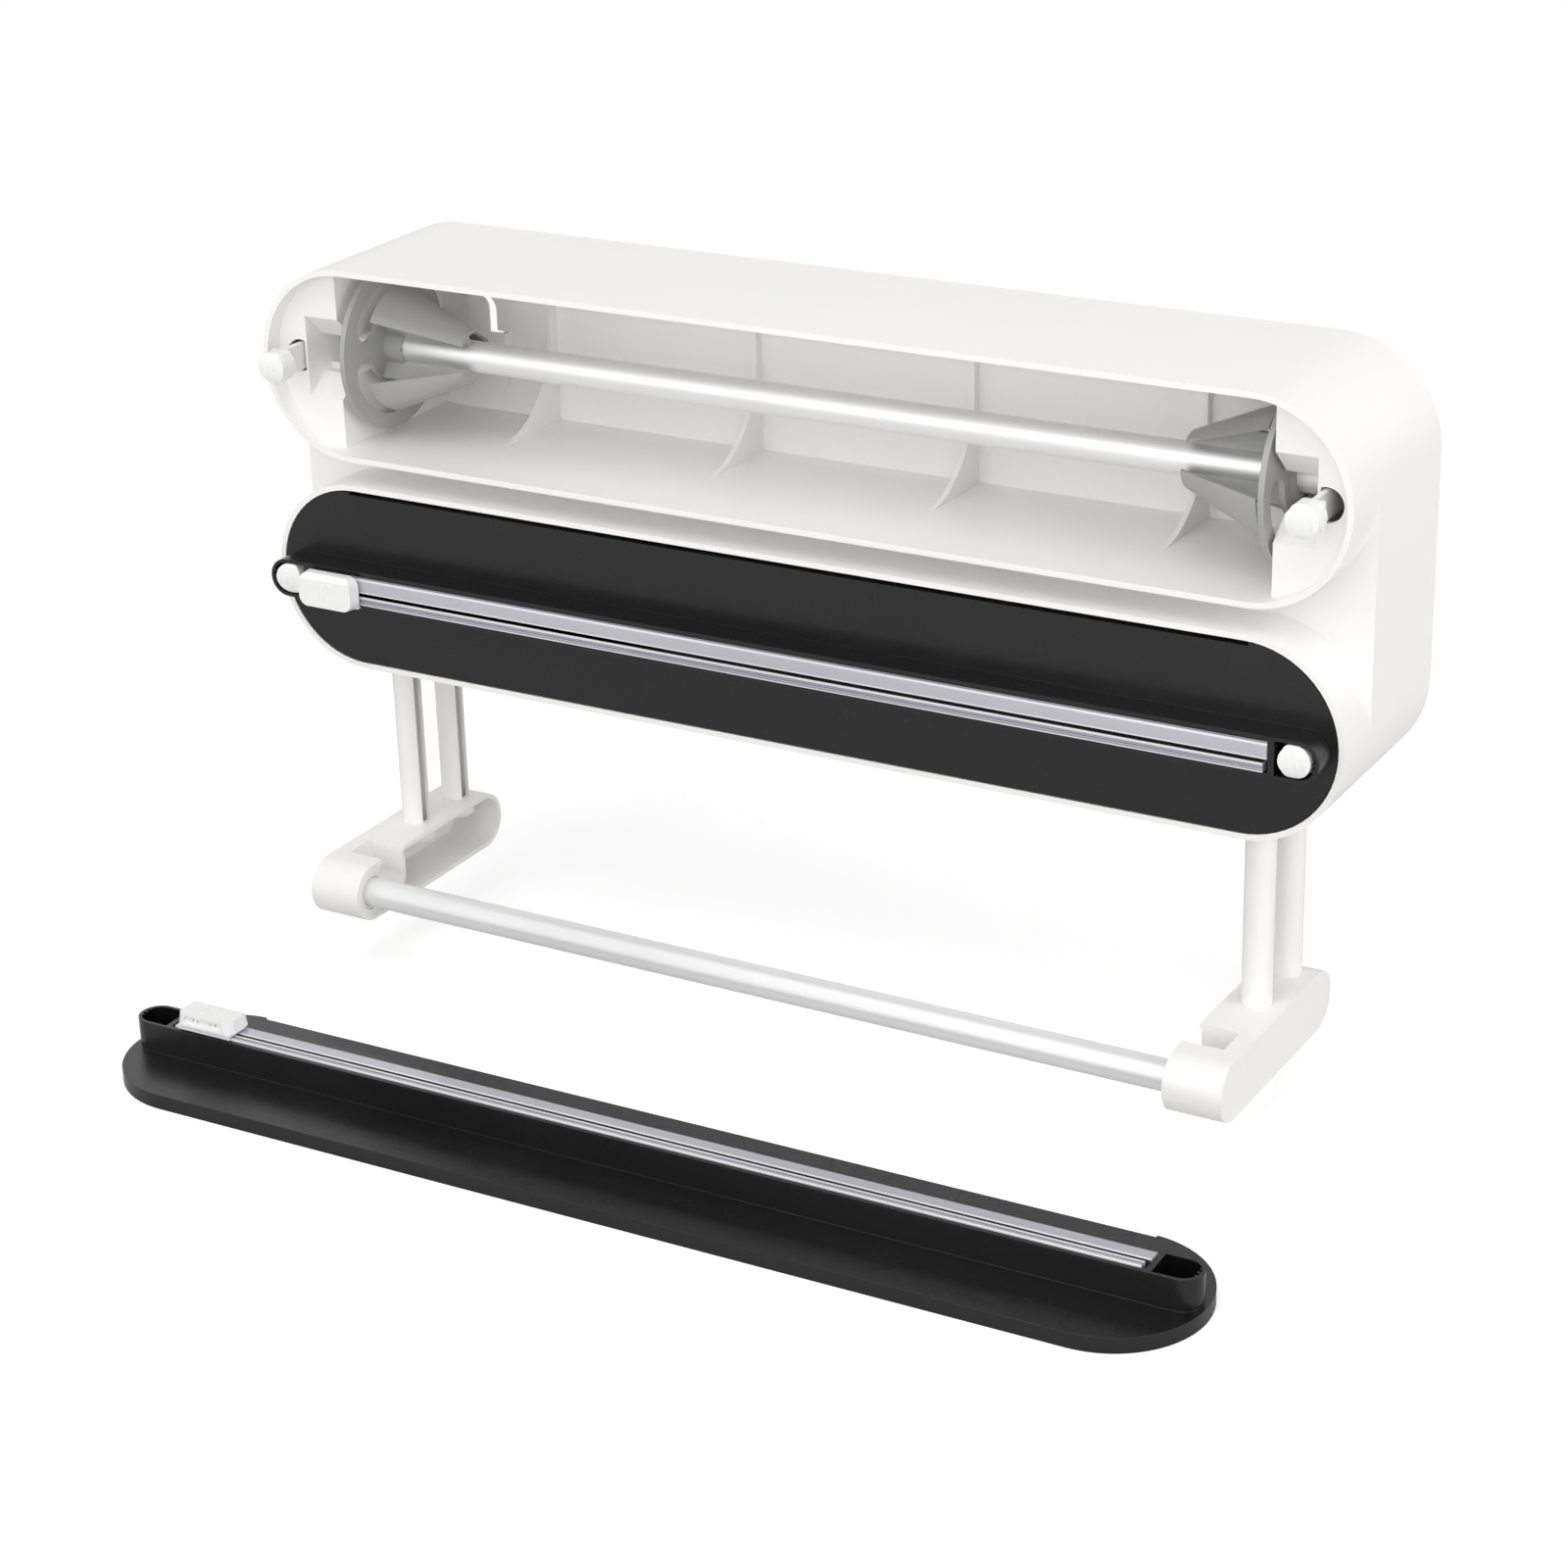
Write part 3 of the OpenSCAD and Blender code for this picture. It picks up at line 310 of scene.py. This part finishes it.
def soften(node, width, segments, near=None, shape=None):
    """A copy of a CAD node with its edges rounded as a moulded part's are. It replaces the node.

    near gives the share of the width that an edge gets, from its middle point. shape moves
    the copy's points before that."""
    mesh = NODES[node].data.copy()
    bm = bmesh.new()
    bm.from_mesh(mesh)
    bmesh.ops.remove_doubles(bm, verts=bm.verts, dist=MERGE_DIST)
    bmesh.ops.dissolve_limit(bm, angle_limit=FLAT_ANGLE, verts=bm.verts, edges=bm.edges,
                             delimit={"NORMAL"})
    if shape is not None:
        shape(bm, node)
    if near is not None:
        layer = bm.edges.layers.float.new("bevel_weight_edge")
        for edge in bm.edges:
            if len(edge.link_faces) == 2 and edge.calc_face_angle(0.0) > EDGE_ANGLE:
                edge[layer] = near((edge.verts[0].co + edge.verts[1].co) / 2)
    bm.to_mesh(mesh)
    bm.free()
    mesh.materials.clear()
    mesh.materials.append(MATERIALS[SLOT_OF[node]])
    for poly in mesh.polygons:
        poly.use_smooth = True
    piece = bpy.data.objects.new(node + "_moulded", mesh)
    round_edges(piece, width, segments, "ANGLE" if near is None else "WEIGHT")
    place(piece, node)


HEAD_FRONT = RIM_Y - 10.6 * MM
HEAD_DOME = 3.0 * MM
DOME_KEPT = 0.4
ARM_FRONT = RIM_Y - 7.5 * MM
ARM_SHARE = 0.3


def latch_share(point):
    """The latch's head is round and soft; its arm has crisp edges."""
    return 1.0 if point.y < ARM_FRONT else ARM_SHARE


def full_head(bm, _node):
    """Makes the dome on a latch's head flatter, so that the head looks fuller."""
    for vert in bm.verts:
        if HEAD_FRONT < vert.co.y < HEAD_FRONT + HEAD_DOME:
            vert.co.y = HEAD_FRONT + DOME_KEPT * (vert.co.y - HEAD_FRONT)


CAP_LENGTH_SHARE = 0.96
CAP_END_TAPER, CAP_SIDE_TAPER = 0.06, 0.05


def tapered_cap(bm, node):
    """Draws in the ends of a cutter's cap and tapers it a little towards its front."""
    to_world = COVER_FRAME[node.split("_")[-1]]
    to_cover = to_world.inverted()
    points = [to_cover @ v.co for v in bm.verts]
    low = [min(q[k] for q in points) for k in range(3)]
    high = [max(q[k] for q in points) for k in range(3)]
    mid = [(a + b) / 2 for a, b in zip(low, high)]
    for vert, q in zip(bm.verts, points):
        front = (high[1] - q[1]) / (high[1] - low[1])
        x = mid[0] + (q[0] - mid[0]) * (CAP_LENGTH_SHARE - CAP_END_TAPER * front)
        z = mid[2] + (q[2] - mid[2]) * (1.0 - CAP_SIDE_TAPER * front)
        vert.co = to_world @ Vector((x, q[1], z))


for node in NODES:
    kind = next((key for key in EDGE_WIDTH if node.startswith(key)), None)
    if kind == "latch":
        soften(node, EDGE_WIDTH[kind] * MM, segments=3, near=latch_share, shape=full_head)
    elif kind == "slider_cap":
        soften(node, EDGE_WIDTH[kind] * MM, segments=4, shape=tapered_cap)
    elif kind is not None:
        soften(node, EDGE_WIDTH[kind] * MM, segments=2)
    elif not node.startswith("rail"):
        obj = NODES[node]
        obj.data.materials.clear()
        obj.data.materials.append(MATERIALS[SLOT_OF[node]])

# ---------------------------------------------------------------- cutter rails
# Sizes in mm in the cover's frame; sections as (y, z)
RAIL_HALF = 165.95
RIDGES_SHORTER = 1.2
RAIL_EDGE = 0.07
BAR_BACK, BAR_FRONT = -6.5, -10.6
BAR_LOW, BAR_HIGH = -4.75, 4.75
SLOT_LOW, SLOT_HIGH, SLOT_BED = -1.75, -0.65, -7.3
LEDGE, RIDGE_BED, LIP_BED = -10.2, -10.25, -10.4
UPPER_BEAD = (
    (BAR_BACK, BAR_HIGH), (-10.05, BAR_HIGH), (LEDGE, 4.6), (LEDGE, 4.15), (BAR_FRONT, 3.55),
    (BAR_FRONT, -0.4), (-10.35, SLOT_HIGH), (SLOT_BED, SLOT_HIGH), (SLOT_BED, SLOT_LOW),
    (BAR_BACK, SLOT_LOW),
)
LOWER_BEAD = (
    (BAR_BACK, SLOT_LOW), (-10.35, SLOT_LOW), (BAR_FRONT, -1.9), (BAR_FRONT, -2.54),
    (RIDGE_BED, -2.62), (RIDGE_BED, -2.80), (BAR_FRONT, -2.88), (BAR_FRONT, -3.12),
    (RIDGE_BED, -3.20), (RIDGE_BED, -3.40), (BAR_FRONT, -3.48), (BAR_FRONT, -3.86),
    (LIP_BED, -3.94), (LIP_BED, -4.28), (BAR_FRONT, -4.38), (BAR_FRONT, -4.55),
    (LIP_BED, BAR_LOW), (BAR_BACK, BAR_LOW),
)
BEADS = (("bead", UPPER_BEAD, RAIL_HALF), ("ridges", LOWER_BEAD, RAIL_HALF - RIDGES_SHORTER))


def extruded(name, section, half):
    """A bar along X. Its UV map keeps the height on the section, for the rail's painted highlights and shade.
    """
    n = len(section)
    verts = [(x * MM, y * MM, z * MM) for x in (-half, half) for y, z in section]
    faces = [(i, (i + 1) % n, n + (i + 1) % n, n + i) for i in range(n)]
    faces += [tuple(range(n - 1, -1, -1)), tuple(range(n, 2 * n))]
    mesh = bpy.data.meshes.new(name)
    mesh.from_pydata(verts, [], faces)
    uv = mesh.uv_layers.new(name="section")
    for poly in mesh.polygons:
        corners = [mesh.loops[i].vertex_index for i in poly.loop_indices]
        heights = [section[corner % n][1] for corner in corners]
        # Faces inside the blade slot all take the slot's dark tone: painted shade
        if max(heights) <= SLOT_HIGH and min(heights) >= SLOT_LOW:
            heights = [(SLOT_HIGH + SLOT_LOW) / 2] * len(heights)
        for i, corner, z in zip(poly.loop_indices, corners, heights):
            uv.data[i].uv = (mesh.vertices[corner].co.x, rail_share(z))
    bm = bmesh.new()
    bm.from_mesh(mesh)
    bmesh.ops.recalc_face_normals(bm, faces=bm.faces)
    bm.to_mesh(mesh)
    bm.free()
    return mesh


for node in ("rail_upper", "rail_lower"):
    for bead, section, half in BEADS:
        bar = extruded(f"{node}_{bead}", section, half)
        bar.transform(COVER_FRAME[node.split("_")[-1]])
        bar.materials.append(MATERIALS[SLOT_OF[node]])
        piece = bpy.data.objects.new(f"{node}_{bead}", bar)
        round_edges(piece, RAIL_EDGE * MM, 2, "ANGLE")
        place(piece, node)

# ---------------------------------------------------------------- stage and light
WHITE = (1.0, 1.0, 1.0, 1.0)
FLOOR_HALF = 4.0
FLOOR_SEEN = (0.90, 0.90, 0.90, 1.0)
FLOOR_BOUNCE = (0.70, 0.70, 0.70, 1.0)
FLOOR_LIFT = 0.38
FADE_START, FADE_END = 0.28, 0.50
AMBIENT, GLEAM, BACKDROP = 0.53, 1.0, 1.0
AIM = (0.0, -0.05, -0.08)
# Name, place, what it points at, size in metres and power in watts
LAMPS = (
    ("top_softbox", (0.1, -0.80, 1.35), (0.0, -0.03, -0.05), (1.6, 1.0), 8.4),
    ("right_softbox", (1.6, -0.14, 0.1), AIM, (1.0, 1.4), 10.2),
    ("front_softbox", (0.2, -1.40, 0.38), AIM, (1.6, 0.9), 7.0),
    ("left_fill", (-1.4, -1.0, 0.3), AIM, (1.0, 1.0), 1.4),
)


def diffuse(tree, colour):
    node = tree.nodes.new("ShaderNodeBsdfDiffuse")
    node.inputs["Color"].default_value = colour
    return node.outputs[0]


def emission(tree, strength):
    node = tree.nodes.new("ShaderNodeEmission")
    node.inputs["Strength"].default_value = strength
    return node.outputs[0]


def background(tree, strength):
    node = tree.nodes.new("ShaderNodeBackground")
    node.inputs["Color"].default_value = WHITE
    node.inputs["Strength"].default_value = strength
    return node.outputs[0]


def mixed(tree, fac, first, second):
    node = tree.nodes.new("ShaderNodeMixShader")
    tree.links.new(fac, node.inputs["Fac"])
    tree.links.new(first, node.inputs[1])
    tree.links.new(second, node.inputs[2])
    return node.outputs[0]


def stage_floor():
    """White worktop. It keeps the part's shadow nearby and fades to plain white further out."""
    mesh = bpy.data.meshes.new("worktop")
    corners = ((-1, -1), (1, -1), (1, 1), (-1, 1))
    mesh.from_pydata([(x * FLOOR_HALF, y * FLOOR_HALF, WORKTOP_Z) for x, y in corners], [], [(0, 1, 2, 3)])
    floor = bpy.data.objects.new("worktop", mesh)
    bpy.context.collection.objects.link(floor)
    mat = bpy.data.materials.new("worktop_white")
    mat.use_nodes = True
    tree = mat.node_tree
    tree.nodes.clear()
    near = tree.nodes.new("ShaderNodeAddShader")
    tree.links.new(diffuse(tree, FLOOR_SEEN), near.inputs[0])
    tree.links.new(emission(tree, FLOOR_LIFT), near.inputs[1])
    coords = tree.nodes.new("ShaderNodeTexCoord")
    away = tree.nodes.new("ShaderNodeVectorMath")
    away.operation = "LENGTH"
    tree.links.new(coords.outputs["Object"], away.inputs[0])
    fade = tree.nodes.new("ShaderNodeMapRange")
    fade.interpolation_type = "SMOOTHSTEP"
    fade.inputs["From Min"].default_value = FADE_START
    fade.inputs["From Max"].default_value = FADE_END
    tree.links.new(away.outputs["Value"], fade.inputs["Value"])
    seen = mixed(tree, fade.outputs["Result"], near.outputs[0], emission(tree, BACKDROP))
    path = tree.nodes.new("ShaderNodeLightPath")
    surface = mixed(tree, path.outputs["Is Camera Ray"], diffuse(tree, FLOOR_BOUNCE), seen)
    out = tree.nodes.new("ShaderNodeOutputMaterial")
    tree.links.new(surface, out.inputs["Surface"])
    mesh.materials.append(mat)


def stage_world():
    """White backdrop for what is seen, brighter reflections, and a softer light from all round."""
    world = bpy.data.worlds.new("studio")
    bpy.context.scene.world = world
    world.use_nodes = True
    tree = world.node_tree
    tree.nodes.clear()
    path = tree.nodes.new("ShaderNodeLightPath")
    seen = tree.nodes.new("ShaderNodeMath")
    seen.operation = "MAXIMUM"
    tree.links.new(path.outputs["Is Camera Ray"], seen.inputs[0])
    tree.links.new(path.outputs["Is Transmission Ray"], seen.inputs[1])
    light = mixed(tree, path.outputs["Is Glossy Ray"], background(tree, AMBIENT), background(tree, GLEAM))
    surface = mixed(tree, seen.outputs[0], light, background(tree, BACKDROP))
    out = tree.nodes.new("ShaderNodeOutputWorld")
    tree.links.new(surface, out.inputs["Surface"])


def lamp(name, place_at, target, size, power):
    data = bpy.data.lights.new(name, "AREA")
    data.shape = "RECTANGLE"
    data.size, data.size_y = size
    data.energy = power
    obj = bpy.data.objects.new(name, data)
    obj.location = place_at
    aim = Vector(target) - Vector(place_at)
    obj.rotation_euler = aim.to_track_quat("-Z", "Y").to_euler()
    bpy.context.collection.objects.link(obj)


stage_floor()
stage_world()
for values in LAMPS:
    lamp(*values)

bpy.context.scene.view_settings.view_transform = "Standard"
